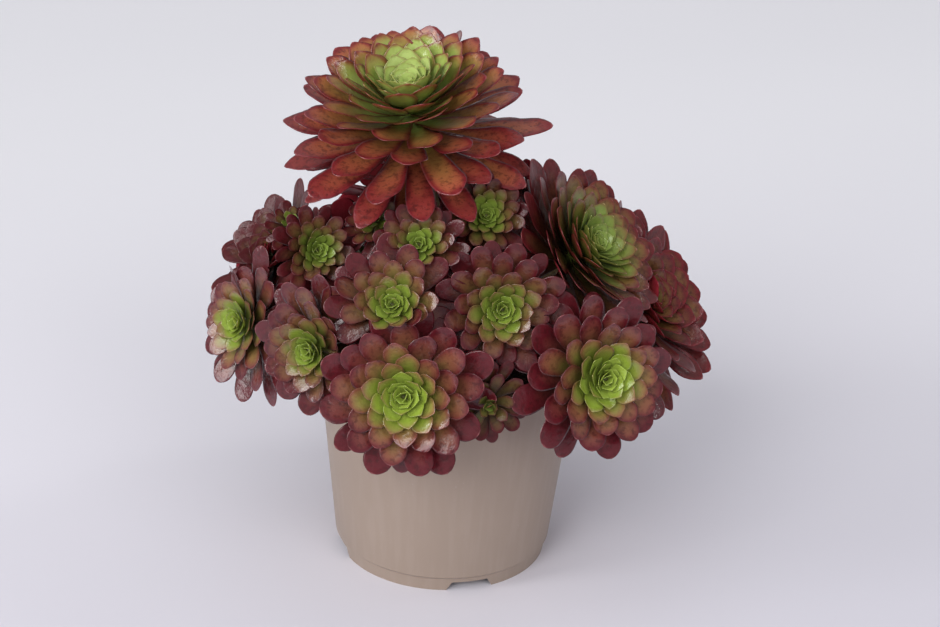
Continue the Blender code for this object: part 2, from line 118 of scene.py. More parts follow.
class Finish:
    """A material being mixed."""

    def __init__(self, name):
        self.material = bpy.data.materials.new(name)
        self.material.use_nodes = True
        self.tree = self.material.node_tree
        self.shader = self.tree.nodes["Principled BSDF"]

    def give(self, socket, value):
        if isinstance(value, bpy.types.NodeSocket):
            self.tree.links.new(value, socket)
        else:
            socket.default_value = value

    def set(self, **values):
        """Gives the shader's sockets their values, named with _ for each space."""
        for name, value in values.items():
            socket = name.replace("_", " ").title().replace("Ior", "IOR")
            self.give(self.shader.inputs[socket], value)

    def node(self, kind, inputs, **settings):
        made = self.tree.nodes.new(kind)
        for name, value in settings.items():
            setattr(made, name, value)
        for name, value in inputs.items():
            self.give(made.inputs[name], value)
        return made

    def maths(self, operation, *values, clamp=False):
        inputs = dict(enumerate(values))
        return self.node("ShaderNodeMath", inputs, operation=operation, use_clamp=clamp).outputs[0]

    def ease(self, value, low, high, first=0.0, second=1.0):
        """A smooth step from the first number below low to the second above high."""
        inputs = {0: value, 1: low, 2: high, 3: first, 4: second}
        step = self.node("ShaderNodeMapRange", inputs, interpolation_type="SMOOTHSTEP")
        return step.outputs[0]

    def share(self, value, low, high):
        """How far the value is from low to high, evenly, kept from 0 to 1."""
        return self.node("ShaderNodeMapRange", {0: value, 1: low, 2: high}).outputs[0]

    def mix(self, share, first, second):
        inputs = {0: share, 6: first, 7: second}
        return self.node("ShaderNodeMix", inputs, data_type="RGBA").outputs[2]

    def ramp(self, value, *stops):
        """A colour that runs through these stops, each a place from 0 to 1 and a colour."""
        made = self.node("ShaderNodeValToRGB", {0: value})
        elements = made.color_ramp.elements
        while len(elements) < len(stops):
            elements.new(1.0)
        for element, (place, colour) in zip(elements, stops):
            element.position = place
            element.color = colour
        return made.outputs[0]

    def here(self, stretch=(1, 1, 1)):
        """The point on the object, in metres, stretched by these factors."""
        inside = self.node("ShaderNodeTexCoord", {}).outputs["Object"]
        return self.node("ShaderNodeMapping", {"Vector": inside, "Scale": stretch}).outputs[0]

    def cloud(self, place, per_metre, detail=2.0, rough=0.5):
        """Noise from 0 to 1 with this many blotches to a metre."""
        inputs = {"Vector": place, "Scale": per_metre, "Detail": detail, "Roughness": rough}
        return self.node("ShaderNodeTexNoise", inputs).outputs[0]

    def read(self, attribute):
        """The three numbers that a mesh carries under this name at each point."""
        told = self.node("ShaderNodeAttribute", {}, attribute_name=attribute).outputs["Vector"]
        return self.node("ShaderNodeSeparateXYZ", {0: told}).outputs

    def relief(self, height, depth, strength=1.0, over=None):
        """Raised detail this many metres deep."""
        inputs = {"Strength": strength, "Distance": depth, "Height": height}
        if over:
            inputs["Normal"] = over
        return self.node("ShaderNodeBump", inputs).outputs[0]


print("taupe in light values", [round(v, 3) for v in screen_colour(168, 150, 139)])

# %% [markdown]
# ## The pot
#
# The pot is a plain 21 cm grower's pot, injection moulded in taupe plastic. Its wall leans out
# a little, so that pots nest, and stands on a short foot ring under a fine crease. A potter
# would turn it on a wheel, and so do we: a profile of a few points is spun round the axis.
# Four drain notches are then cut out of the foot, each with a round hole in the floor behind.

# %% The pot's profile
POT_HEIGHT, WALL, FLOOR_UNDER, FLOOR_CORNER = 0.180, 0.0020, 0.0095, 0.008
FOOT_HEIGHT, FOOT_RADIUS, FOOT_TOP_RADIUS, CREASE = 0.0132, 0.0850, 0.0862, 0.0022
RIM_LIP, RIM_DEPTH, RIM_ROUND = 0.0022, 0.009, 0.0012
NOTCH_WIDTH, NOTCH_TOP_WIDTH, NOTCH_DEPTH, NOTCH_HEIGHT = 0.040, 0.029, 0.020, 0.0075
NOTCHES, FIRST_NOTCH, DRAIN_RADIUS, DRAIN_RING = 4, math.radians(-73.0), 0.005, 0.062
WALL_FOOT_RADIUS, WALL_LEAN = 0.0885, 0.1014


def wall_radius(height):
    """The pot's outer wall at this height."""
    return WALL_FOOT_RADIUS + WALL_LEAN * (height - FOOT_HEIGHT)


def pot_profile():
    """Points of (radius, height) down the inside, out over the rim and under the floor."""
    top, lip_foot, floor = POT_HEIGHT, POT_HEIGHT - RIM_DEPTH, FLOOR_UNDER + WALL
    return [
        (0.0, floor),
        (wall_radius(floor) - FLOOR_CORNER, floor),
        (wall_radius(floor + 2 * WALL) - WALL, floor + 2 * WALL),
        (wall_radius(top) - WALL, top),
        (wall_radius(top) + RIM_LIP - RIM_ROUND, top),
        (wall_radius(top) + RIM_LIP, top - RIM_ROUND),
        (wall_radius(lip_foot) + RIM_LIP, lip_foot),
        (wall_radius(lip_foot), lip_foot - RIM_ROUND),
        (wall_radius(FOOT_HEIGHT), FOOT_HEIGHT),
        (FOOT_TOP_RADIUS, FOOT_HEIGHT - CREASE),
        (FOOT_RADIUS, 0.0),
        (FOOT_RADIUS - WALL, 0.0),
        (FOOT_TOP_RADIUS - WALL, FLOOR_UNDER),
        (0.0, FLOOR_UNDER),
    ]


print("the wall is", round(wall_radius(POT_HEIGHT) * 2000), "mm across at the top")


# %% Turning and carving
def turned(profile, steps):
    """A bmesh of the profile spun once round the upright axis."""
    bm = bmesh.new()
    points = [bm.verts.new((radius, 0, height)) for radius, height in profile]
    edges = [bm.edges.new(pair) for pair in zip(points, points[1:])]
    around = {"cent": (0, 0, 0), "axis": (0, 0, 1), "angle": math.tau, "steps": steps}
    bmesh.ops.spin(bm, geom=points + edges, use_merge=True, **around)
    bmesh.ops.remove_doubles(bm, verts=bm.verts, dist=0.00001)
    bmesh.ops.recalc_face_normals(bm, faces=bm.faces)
    return bm


def carve(body, bm):
    """Cuts this shape out of the body."""
    cutter = piece("cutter", bm)
    cut = body.modifiers.new("Cut", "BOOLEAN")
    cut.object, cut.operation, cut.solver = cutter, "DIFFERENCE", "EXACT"
    bpy.context.view_layer.update()
    graph = bpy.context.evaluated_depsgraph_get()
    carved = bpy.data.meshes.new_from_object(body.evaluated_get(graph))
    body.modifiers.clear()
    body.data = carved
    bpy.data.objects.remove(cutter, do_unlink=True)


def notch_block(turn):
    """A block with slanted ends, across the foot ring."""
    bm = bmesh.new()
    bmesh.ops.create_cube(bm, size=1.0)
    for vert in bm.verts:
        upper = vert.co.z > 0
        vert.co = (
            vert.co.x * (NOTCH_TOP_WIDTH if upper else NOTCH_WIDTH),
            vert.co.y * NOTCH_DEPTH - FOOT_RADIUS,
            NOTCH_HEIGHT if upper else -WALL,
        )
    bmesh.ops.rotate(bm, verts=bm.verts, matrix=turn)
    return bm


def drain_plug(turn):
    """A short round plug through the floor."""
    bm = bmesh.new()
    size = {"radius1": DRAIN_RADIUS, "radius2": DRAIN_RADIUS, "depth": 4 * WALL}
    bmesh.ops.create_cone(bm, cap_ends=True, segments=24, **size)
    middle = Vector((0, -DRAIN_RING, FLOOR_UNDER + WALL / 2))
    bmesh.ops.translate(bm, verts=bm.verts, vec=turn @ middle)
    return bm


# %% [markdown]
# Moulded plastic has a satin skin. Its gloss wavers a little from place to place, the mould
# was polished upwards and left the faintest upright streaks, and handling leaves pale scuffs
# and specks of dust. All of it is kept faint, because on a new pot it only shows up close.


# %% Taupe plastic
def taupe_plastic():
    plastic = Finish("taupe_plastic")
    broad = plastic.cloud(plastic.here(), 14.0, 3.0)
    streaks = plastic.cloud(plastic.here((1, 1, 0.03)), 170.0, 3.0)
    dust = plastic.ease(plastic.cloud(plastic.here(), 420.0, 2.0), 0.70, 0.80)
    shade = plastic.ramp(
        broad, (0.30, screen_colour(149, 132, 119)), (0.70, screen_colour(153, 136, 123))
    )
    streaked = plastic.mix(
        plastic.ease(streaks, 0.42, 0.70, 0.0, 0.14), shade, screen_colour(172, 156, 145)
    )
    dusty = plastic.mix(
        plastic.maths("MULTIPLY", dust, 0.25), streaked, screen_colour(186, 176, 168)
    )
    grain = plastic.cloud(plastic.here(), 2600.0, 2.0)
    fine = plastic.relief(grain, 0.00003, 0.5)
    plastic.set(
        base_color=dusty,
        roughness=plastic.ease(broad, 0.3, 0.7, 0.40, 0.50),
        normal=plastic.relief(streaks, 0.00004, 0.6, over=fine),
    )
    return plastic.material


# %% Make the pot
pot = piece("moulded_pot", turned(pot_profile(), steps=144), taupe_plastic())
for number in range(NOTCHES):
    turn = Matrix.Rotation(FIRST_NOTCH + number * math.tau / NOTCHES, 3, "Z")
    carve(pot, notch_block(turn))
    carve(pot, drain_plug(turn))
pot.data.shade_smooth()
SHARP_ANGLE = math.radians(40)
pot.data.set_sharp_from_angle(angle=SHARP_ANGLE)
softening = pot.modifiers.new("Softened edges", "BEVEL")
softening.width, softening.segments, softening.limit_method = 0.0004, 2, "ANGLE"
softening.angle_limit = SHARP_ANGLE
place_on_plant(pot, "pot", "pot")

# %% [markdown]
# ## The soil
#
# Under the leaves the pot is full of dark potting soil. Only glimpses of it show, but a bare
# disc would look empty there. The bed is turned like the pot, its top is roughened by moving
# its points with noise, and crumbs of bark and a few pale grit stones are scattered on it.


# %% Potting soil
def potting_soil():
    soil = Finish("potting_soil")
    crumbs = soil.cloud(soil.here(), 260.0, 6.0, 0.7)
    damp = soil.cloud(soil.here(), 35.0, 3.0)
    brown = soil.ramp(
        crumbs,
        (0.30, screen_colour(30, 21, 15)),
        (0.55, screen_colour(64, 46, 33)),
        (0.75, screen_colour(104, 80, 58)),
    )
    grit = soil.ease(soil.cloud(soil.here(), 330.0, 0.0), 0.74, 0.78)
    soil.set(
        base_color=soil.mix(grit, brown, screen_colour(188, 180, 166)),
        roughness=soil.ease(damp, 0.3, 0.7, 0.75, 0.97),
        normal=soil.relief(crumbs, 0.0016, 0.9),
    )
    return soil.material


# %% Make the soil
SOIL_TOP, SOIL_MOUND, SIDE_GAP, FLOOR_GAP = 0.163, 0.004, 0.0006, 0.0003
SOIL_RADIUS = wall_radius(SOIL_TOP) - WALL - SIDE_GAP
LUMP_HEIGHT, LUMPS_PER_METRE, LUMP_SINK = 0.0016, 140, 0.0006


def soil_height(radius):
    return SOIL_TOP + SOIL_MOUND * (1 - 1.5 * (radius / SOIL_RADIUS) ** 2)


def soil_bed():
    """The bed, with a lumpy top."""
    low = FLOOR_UNDER + WALL + FLOOR_GAP
    rings = [SOIL_RADIUS * step / 24 for step in range(25)]
    profile = [(radius, soil_height(radius)) for radius in rings]
    profile += [
        (wall_radius(low + 2 * WALL) - WALL - SIDE_GAP, low + 2 * WALL),
        (wall_radius(low) - FLOOR_CORNER - WALL - SIDE_GAP, low),
        (0.0, low),
    ]
    bm = turned(profile, steps=96)
    for vert in bm.verts:
        if vert.co.z > SOIL_TOP - SOIL_MOUND:
            lump = noise.fractal(vert.co * LUMPS_PER_METRE, 1.0, 2.0, 3)
            vert.co.z += LUMP_HEIGHT * lump - LUMP_SINK
    return bm


def scatter_crumbs(bm, count):
    """Small squashed lumps, half sunk in the top."""
    for _ in range(count):
        radius = SOIL_RADIUS * math.sqrt(dice.uniform(0.03, 0.9))
        around = dice.uniform(0, math.tau)
        size = dice.uniform(0.0008, 0.0026)
        lump = bmesh.ops.create_icosphere(bm, subdivisions=1, radius=size)["verts"]
        turn = Matrix.Rotation(dice.uniform(0, math.tau), 4, dice.choice("XYZ"))
        flatten = Matrix.Diagonal((1.0, dice.uniform(0.6, 1.0), dice.uniform(0.4, 0.8), 1.0))
        middle = (radius * math.cos(around), radius * math.sin(around), soil_height(radius))
        bmesh.ops.transform(bm, matrix=Matrix.Translation(middle) @ flatten @ turn, verts=lump)


bed = soil_bed()
scatter_crumbs(bed, count=260)
soil = piece("soil_bed", bed, potting_soil())
place_on_plant(soil, "soil", "soil")

# %% [markdown]
# ## The plan of the plant
#
# Each rosette is planned in one row: where its heart is in millimetres, which way it faces,
# how far it reaches, and how many leaves stand and hang in it. The leaf tips of a flat rosette
# lie on a shallow dish, and those of an old one on a dome that hangs over, so a row can name
# the lift, droop and curve of its dome, and how much longer the leaves on its lower side are,
# which is its sag.
#
# The rest is colour. Russet makes leaves olive and brown with a crimson margin, as on the big
# old rosettes, instead of plain wine red. Painted shade darkens the colour of a rosette that sits
# back among the others, where less light reaches it. Green over one keeps its leaves green
# further out, and under one ripens them.


# %% The rosettes
@dataclass
class Rosette:
    name: str
    heart_mm: tuple
    facing_deg: tuple
    reach_mm: float
    leaves: int
    hanging: int = 6
    lift: float = 0.25
    droop: float = 0.62
    curve: float = 2.0
    leaf_width: float = 0.175
    young_width: float = 0.09
    russet: float = 0.0
    # how much the rosette's colour is darkened by painted shade
    tone: float = 0.0
    green: float = 1.0
    sag: float = 0.0

    @property
    def heart(self):
        return Vector(self.heart_mm) / 1000

    @property
    def reach(self):
        return self.reach_mm / 1000

    @property
    def facing(self):
        around, up = (math.radians(angle) for angle in self.facing_deg)
        level = math.cos(up)
        return Vector((level * math.sin(around), -level * math.cos(around), math.sin(up)))

    @property
    def base(self):
        return self.heart - self.facing * self.reach * 0.5

    @property
    def core_radius(self):
        return 0.0028 + 0.10 * self.reach

    @property
    def place(self):
        """The matrix from the rosette's own frame, with its axis up, to the plant."""
        turn = self.facing.to_track_quat("Z", "Y").to_matrix().to_4x4()
        return Matrix.Translation(self.heart) @ turn


TALL = {"lift": 0.62, "droop": 1.12, "curve": 2.4, "leaf_width": 0.14, "young_width": 0.12}
BOWL = {"lift": 0.40, "droop": 0.52, "leaf_width": 0.165}
ROSETTES = [
    Rosette("top_rosette", (-40, -12, 397), (-16, 70), 106, 118, 16, **TALL, russet=1.0),
    Rosette("front_rosette", (-30, -160, 206), (-4, 18), 71, 62, green=1.08),
    Rosette("front_right_rosette", (119, -130, 213), (24, 17), 71, 64, green=1.15),
    Rosette("middle_right_rosette", (39, -120, 260), (6, 18), 56, 56, tone=0.5, green=1.0),
    Rosette(
        "right_upper_rosette", (112, -30, 283), (62, 40), 80, 96, 16, **BOWL,
        russet=0.4, tone=0.7, green=1.15,
    ),
    Rosette(
        "right_rosette", (163, 12, 224), (62, 34), 90, 64, 16, **BOWL, young_width=0.16,
        russet=0.8, tone=0.9, green=0.25, sag=0.12,
    ),
    Rosette("middle_rosette", (-41, -130, 266), (-2, 32), 56, 54, tone=0.4),
    Rosette("front_left_rosette", (-104, -120, 220), (-28, 8), 60, 58, tone=0.4),
    Rosette(
        "left_rosette", (-169, -34, 202), (-42, 16), 60, 60, 9, droop=0.7, tone=0.1, sag=0.25
    ),
    Rosette(
        "upper_right_rosette", (25, -55, 309), (12, 32), 40, 50, lift=0.42, tone=0.7, green=1.15
    ),
    Rosette("centre_rosette", (-24, -94, 299), (0, 34), 40, 44, lift=0.40, tone=0.6, green=1.1),
    Rosette(
        "left_upper_rosette", (-99, -70, 280), (22, 22), 37, 46, lift=0.42, tone=0.7, green=1.15
    ),
    Rosette("upper_left_rosette", (-60, -55, 302), (-20, 45), 32, 34, tone=0.6),
    Rosette("rim_rosette", (33, -142, 192), (8, 4), 38, 30, tone=1.0, green=0.75),
    Rosette("left_bud_rosette", (-124, -25, 285), (10, 50), 24, 24, tone=0.7, green=1.2),
    Rosette(
        "left_back_rosette", (-151, 12, 247), (-60, 40), 66, 60, 12, **BOWL, young_width=0.12,
        tone=1.0, green=0.2, sag=0.2,
    ),
    Rosette("right_back_rosette", (88, 72, 282), (130, 50), 68, 56, **BOWL, tone=0.5),
    Rosette("back_left_rosette", (-95, 130, 222), (-145, 20), 72, 54, tone=0.1),
    Rosette("back_rosette", (10, 164, 212), (178, 18), 74, 54),
    Rosette("back_right_rosette", (112, 128, 218), (140, 20), 72, 54, tone=0.1),
    Rosette("back_left_upper_rosette", (-50, 108, 286), (-158, 46), 66, 50, tone=0.4),
    Rosette("back_right_upper_rosette", (35, 114, 290), (165, 42), 64, 50, tone=0.4),
    Rosette("left_low_rosette", (-162, 68, 192), (-140, 10), 58, 42, tone=0.3),
    Rosette("right_low_rosette", (162, 84, 190), (118, 2), 56, 42, tone=0.3),
    Rosette("back_crown_rosette", (-30, 50, 324), (178, 62), 50, 40, tone=0.6),
]
print(len(ROSETTES), "rosettes,", sum(r.leaves + r.hanging for r in ROSETTES), "leaves planned")

# %% [markdown]
# ## The stem
#
# A trunk stands in the soil and leans to the top rosette, and a thinner branch curves out of
# it to each of the others. A branch could be a curve with a bevel, but a curve carries no
# notes for the finish to read. Here a sphere is drawn out into a tube instead: its rings are
# moved to stations on the branch, and each point keeps how far along it stands.

# %% Paths of the trunk and branches
TRUNK_FOOT = Vector((0.0, 0.0, SOIL_TOP - 0.045))
TRUNK_START = Vector((0.0, 0.0, SOIL_TOP + 0.008))
GAP = 0.0003


def smooth_path(start, start_way, end, end_way, share):
    """The point this share of the way along a smooth path with these ends and directions."""
    squared, cubed = share * share, share**3
    return (
        start * (2 * cubed - 3 * squared + 1)
        + start_way * (cubed - 2 * squared + share)
        + end * (3 * squared - 2 * cubed)
        + end_way * (cubed - squared)
    )


def seat(rosette):
    """The last straight bit of a stem, under its rosette."""
    end = rosette.base - rosette.facing * GAP
    return [end - rosette.facing * 0.005, end]


def trunk_point(share):
    end = seat(ROSETTES[0])[0]
    rise = end.z - TRUNK_START.z
    way, arrival = Vector((0, 0, rise)), ROSETTES[0].facing * rise * 0.70
    return smooth_path(TRUNK_START, way, end, arrival, share)


def branch_points(rosette, steps):
    """Stations along a branch, out of the trunk, over the pot's rim and up to the rosette."""
    end = seat(rosette)[0]
    leaves_trunk_at = max(SOIL_TOP + 0.025, end.z - 0.55 * math.hypot(end.x, end.y))
    share = (leaves_trunk_at - TRUNK_START.z) / (seat(ROSETTES[0])[0].z - TRUNK_START.z)
    start = trunk_point(min(share, 0.80))
    way = Vector((end.x - start.x, end.y - start.y, 0)).normalized()
    way.z = 0.55
    length = (end - start).length
    arrival = rosette.facing * length * 0.70
    shares = [step / steps for step in range(steps)]
    return [smooth_path(start, way * length, end, arrival, s) for s in shares] + seat(rosette)


# %% Drawing a sphere out into a tube
def grow_tube(bm, points, radii, sides):
    """Adds a closed tube through the points, with rough bark and its length noted on it."""
    stations = len(points)
    along, side, rings = 0.0, None, []
    for number, point in enumerate(points):
        way = (points[min(number + 1, stations - 1)] - points[max(number - 1, 0)]).normalized()
        side = (side or way.orthogonal()) - way * way.dot(side or way.orthogonal())
        side.normalize()
        along += (point - points[number - 1]).length if number else 0.0
        rings.append((point, side, way.cross(side), along))
    notes = bm.verts.layers.float_vector
    note = notes.get("bark_note") or notes.new("bark_note")
    sphere = bmesh.ops.create_uvsphere(bm, u_segments=sides, v_segments=stations + 1, radius=1.0)
    for vert in sphere["verts"]:
        ring = round(math.acos(max(-1.0, min(1.0, vert.co.z))) / math.pi * (stations + 1))
        station = max(0, min(stations - 1, ring - 1))
        point, side, other, along = rings[station]
        around = math.atan2(vert.co.y, vert.co.x)
        radius = between(radii, station / (stations - 1)) if 0 < ring <= stations else 0.0
        radius *= 1 + 0.05 * math.sin(along * 900 + 2 * around)
        vert.co = point + (side * math.cos(around) + other * math.sin(around)) * radius
        vert[note] = (along, around, 0.0)


# %% [markdown]
# The bark is olive where it is young and greyish brown where it is old. Every leaf that has
# dropped leaves a pale lens-shaped scar, so the bark is banded with short marks. The marks
# are made from noise that is stretched round the stem, in the lengths noted on the mesh.


# %% Scarred bark
def scarred_bark():
    bark = Finish("scarred_bark")
    along, around, _ = bark.read("bark_note")
    place = bark.node(
        "ShaderNodeCombineXYZ", {0: bark.maths("MULTIPLY", along, 320.0), 1: around, 2: 0.0}
    ).outputs[0]
    marks = bark.cloud(place, 1.0, 2.0)
    blotches = bark.cloud(bark.here(), 90.0, 4.0)
    ground = bark.ramp(
        blotches,
        (0.30, screen_colour(70, 60, 38)),
        (0.50, screen_colour(112, 98, 62)),
        (0.72, screen_colour(142, 124, 92)),
    )
    scars = bark.maths("MULTIPLY", bark.ease(marks, 0.56, 0.66), 0.6)
    bark.set(
        base_color=bark.mix(scars, ground, screen_colour(168, 150, 118)),
        roughness=bark.ease(blotches, 0.3, 0.7, 0.62, 0.82),
        normal=bark.relief(marks, 0.0008, 0.8),
    )
    return bark.material


# %% Make the stem
TRUNK_STEPS, TRUNK_RADII, THICKEST_TIP = 28, (0.0125, 0.0105), 0.0055
stem_mesh = bmesh.new()
trunk = [TRUNK_FOOT, *(trunk_point(step / TRUNK_STEPS) for step in range(TRUNK_STEPS))]
grow_tube(stem_mesh, trunk + seat(ROSETTES[0]), TRUNK_RADII, sides=20)
for rosette in ROSETTES[1:]:
    tip = min(THICKEST_TIP, 0.62 * rosette.core_radius)
    grow_tube(stem_mesh, branch_points(rosette, steps=16), (tip * 1.25, tip), sides=12)
bmesh.ops.recalc_face_normals(stem_mesh, faces=stem_mesh.faces)
stem = piece("branched_stem", stem_mesh, scarred_bark())
place_on_plant(stem, "stem", "stem")

# %% [markdown]
# ## One leaf
#
# A leaf is a fleshy spoon: a narrow foot, widest past the middle, and a round end with a
# short point. It could be sculpted once and copied, but copies with one bend look like
# plastic. So every leaf is its own sphere of forty-eight faces, drawn out along an arc from
# its root on the core to its tip on the rosette's dome. A Subdivision modifier on the whole
# rosette then rounds it off. Young leaves end in a point, and old ones are blunt, with an edge
# that waves up and down a little. One old leaf in fifteen or so is twisted far enough to show
# its crimson underside.


# %% The shape of a leaf
@dataclass
class Leaf:
    """One leaf in its rosette's own frame: where it points, how it rises, and its size."""

    age: float
    around: float
    rise: float
    bend: float
    length: float
    half_width: float
    thickness: float
    root_out: float
    root_up: float
    hollow: float
    roll: float
    wave: float
    wave_start: float
    point: float


LEAF_RINGS = (0.0, 0.03, 0.25, 0.47, 0.66, 0.80, 0.91, 0.98, 1.03)
LEAF_SIDES = 6
GOLDEN_ANGLE = math.radians(137.508)
TWISTED_FROM_AGE, TWISTED_SHARE, TWIST = 0.6, 0.07, 5


def width_share(along, age, point):
    """A spoon outline: round-ended and widest near the end when old, and pointed when young."""
    widest = between((0.60, 0.80), settled(age / 0.6))
    if along < widest:
        share = along / widest
        return between((0.36, 1.0), share * share * (3 - 2 * share))
    share = min(1.0, (along - widest) / (1 - widest))
    old = settled(age / 0.85)
    return (1 - share ** between((1.7, 2.5), old)) ** between((1.0, 0.52 + 0.2 * point), old)


def leaf_point(leaf, along, across, over, extra=0.0):
    """A point of the leaf: along it, across it from -1 to 1, and over (1) or under (-1)."""
    angle = leaf.rise + leaf.bend * along
    out = (math.sin(angle) - math.sin(leaf.rise)) / leaf.bend
    up = (math.cos(leaf.rise) - math.cos(angle)) / leaf.bend
    width = leaf.half_width * width_share(along, leaf.age, leaf.point) + extra
    lift = over * (leaf.thickness / 2 + extra) * (1 - 0.35 * along)
    wave = leaf.wave * math.sin(13 * along + 2 * across + leaf.wave_start)
    lift += (leaf.hollow + wave) * width * across * across + leaf.roll * width * across
    out = leaf.root_out + leaf.length * out - math.sin(angle) * lift
    up = leaf.root_up + leaf.length * up + math.cos(angle) * lift
    side = across * width
    cos, sin = math.cos(leaf.around), math.sin(leaf.around)
    return Vector((out * cos - side * sin, out * sin + side * cos, up))


def leaf_of_age(rosette, age, hang, around):
    """The leaf of this age, from 0 in the heart to 1 outermost, or one that hangs below."""
    reach = rosette.reach
    down = rosette.place.to_3x3().transposed() @ Vector((0, 0, -1))
    lower = max(0.0, down.x * math.cos(around) + down.y * math.sin(around))
    tip_out = reach * between((0.03, 1.0), age) * dice.uniform(0.92, 1.03)
    tip_up = reach * (rosette.lift * age - rosette.droop * age**rosette.curve)
    bend = math.radians(between((75, 13), settled(age / 0.625)))
    if hang:
        tip_out = reach * between((0.95, 0.83), hang)
        tip_up -= reach * between((0.06, 0.34), hang)
        bend = math.radians(8)
    tip_out *= 1 + rosette.sag * lower * age
    root_out = rosette.core_radius * between((0.15, 0.55), age)
    root_up = -reach * between((0.08, 0.46), age)
    out, up = tip_out - root_out, tip_up - root_up
    half_width = reach * between((rosette.young_width, rosette.leaf_width), age**0.8)
    if hang:
        half_width *= 0.8
    return Leaf(
        age=age,
        around=around,
        rise=math.atan2(up, out) - bend / 2 + math.radians(dice.uniform(-4, 4)),
        bend=bend,
        length=math.hypot(out, up) * (bend / 2) / math.sin(bend / 2),
        half_width=half_width,
        thickness=(0.0007 + 0.008 * reach) * between((0.7, 1), age),
        root_out=root_out,
        root_up=root_up,
        hollow=between((0.40, 0.10), settled(age / 0.8)),
        roll=dice.uniform(-0.2, 0.2)
        * (TWIST if age > TWISTED_FROM_AGE and dice.random() < TWISTED_SHARE else 1),
        wave=between((0.0, 0.08 + 0.08 * rosette.russet), age),
        wave_start=dice.uniform(0, math.tau),
        point=rosette.russet,
    )


# %% [markdown]
# ## Leaves that give way
#
# Where rosettes crowd each other, real leaves bend aside. Each leaf is first tried as it is
# drawn, in a rough shape a little fatter than itself. If that touches the pot, the stem or an
# earlier rosette, it is tried again a few degrees up or down, or a bit shorter, until it is
# clear. The front rosettes come first in the plan, so that they keep their shape.

# %% Bending leaves clear of their neighbours
GIVE_WAY = [
    (0, 1.0), (-7, 1.0), (7, 1.0), (-14, 0.97), (13, 0.97), (-21, 0.94), (-28, 0.92),
    (20, 0.92), (0, 0.85), (-35, 0.88), (28, 0.86), (-14, 0.78), (-42, 0.82), (14, 0.76),
    (36, 0.80), (0, 0.66), (-28, 0.66), (-50, 0.70), (30, 0.64), (0, 0.54), (-40, 0.54),
    (45, 0.56), (0, 0.44),
]
ROUGH_RINGS = (0, 0.06, 0.44, 0.76, 0.93, 1.0)
CLEARANCE = 0.0004


def rough_leaf(bm, leaf, place, extra):
    """Adds the leaf in a rough shape, grown by this much all round."""
    for vert in bmesh.ops.create_uvsphere(bm, u_segments=4, v_segments=5, radius=1.0)["verts"]:
        ring = round(math.acos(max(-1.0, min(1.0, vert.co.z))) / math.pi * 5)
        level = math.hypot(vert.co.x, vert.co.y) or 1.0
        across, over = vert.co.x / level, vert.co.y / level
        vert.co = place @ leaf_point(leaf, ROUGH_RINGS[ring], across, over, extra)


def tree_of(made):
    """A search tree of a piece's faces."""
    bm = bmesh.new()
    bm.from_mesh(made.data)
    tree = BVHTree.FromBMesh(bm)
    bm.free()
    return tree


def fitted(leaf, place, obstacles):
    """The leaf, bent or shortened as little as keeps it clear of its neighbours, or None."""
    for tilt, share in GIVE_WAY:
        tried = replace(
            leaf,
            rise=leaf.rise + math.radians(tilt),
            length=leaf.length * share,
            half_width=leaf.half_width * (0.5 + 0.5 * share),
        )
        bm = bmesh.new()
        rough_leaf(bm, tried, place, CLEARANCE)
        tree = BVHTree.FromBMesh(bm)
        bm.free()
        if not any(tree.overlap(other) for other in obstacles):
            return tried
    return None


def leaves_of(rosette, obstacles):
    """All of a rosette's leaves, each a golden angle on from the last."""
    turn, kept = dice.uniform(0, math.tau), []
    for number in range(rosette.leaves + rosette.hanging):
        below = number - rosette.leaves
        hang = (below + 0.5) / rosette.hanging if below >= 0 else 0.0
        age = 1.0 if hang else (number + 0.4) / rosette.leaves
        turn += GOLDEN_ANGLE
        leaf = leaf_of_age(rosette, age, hang, turn + dice.uniform(-0.06, 0.06))
        kept.append(fitted(leaf, rosette.place, obstacles))
    return [leaf for leaf in kept if leaf]
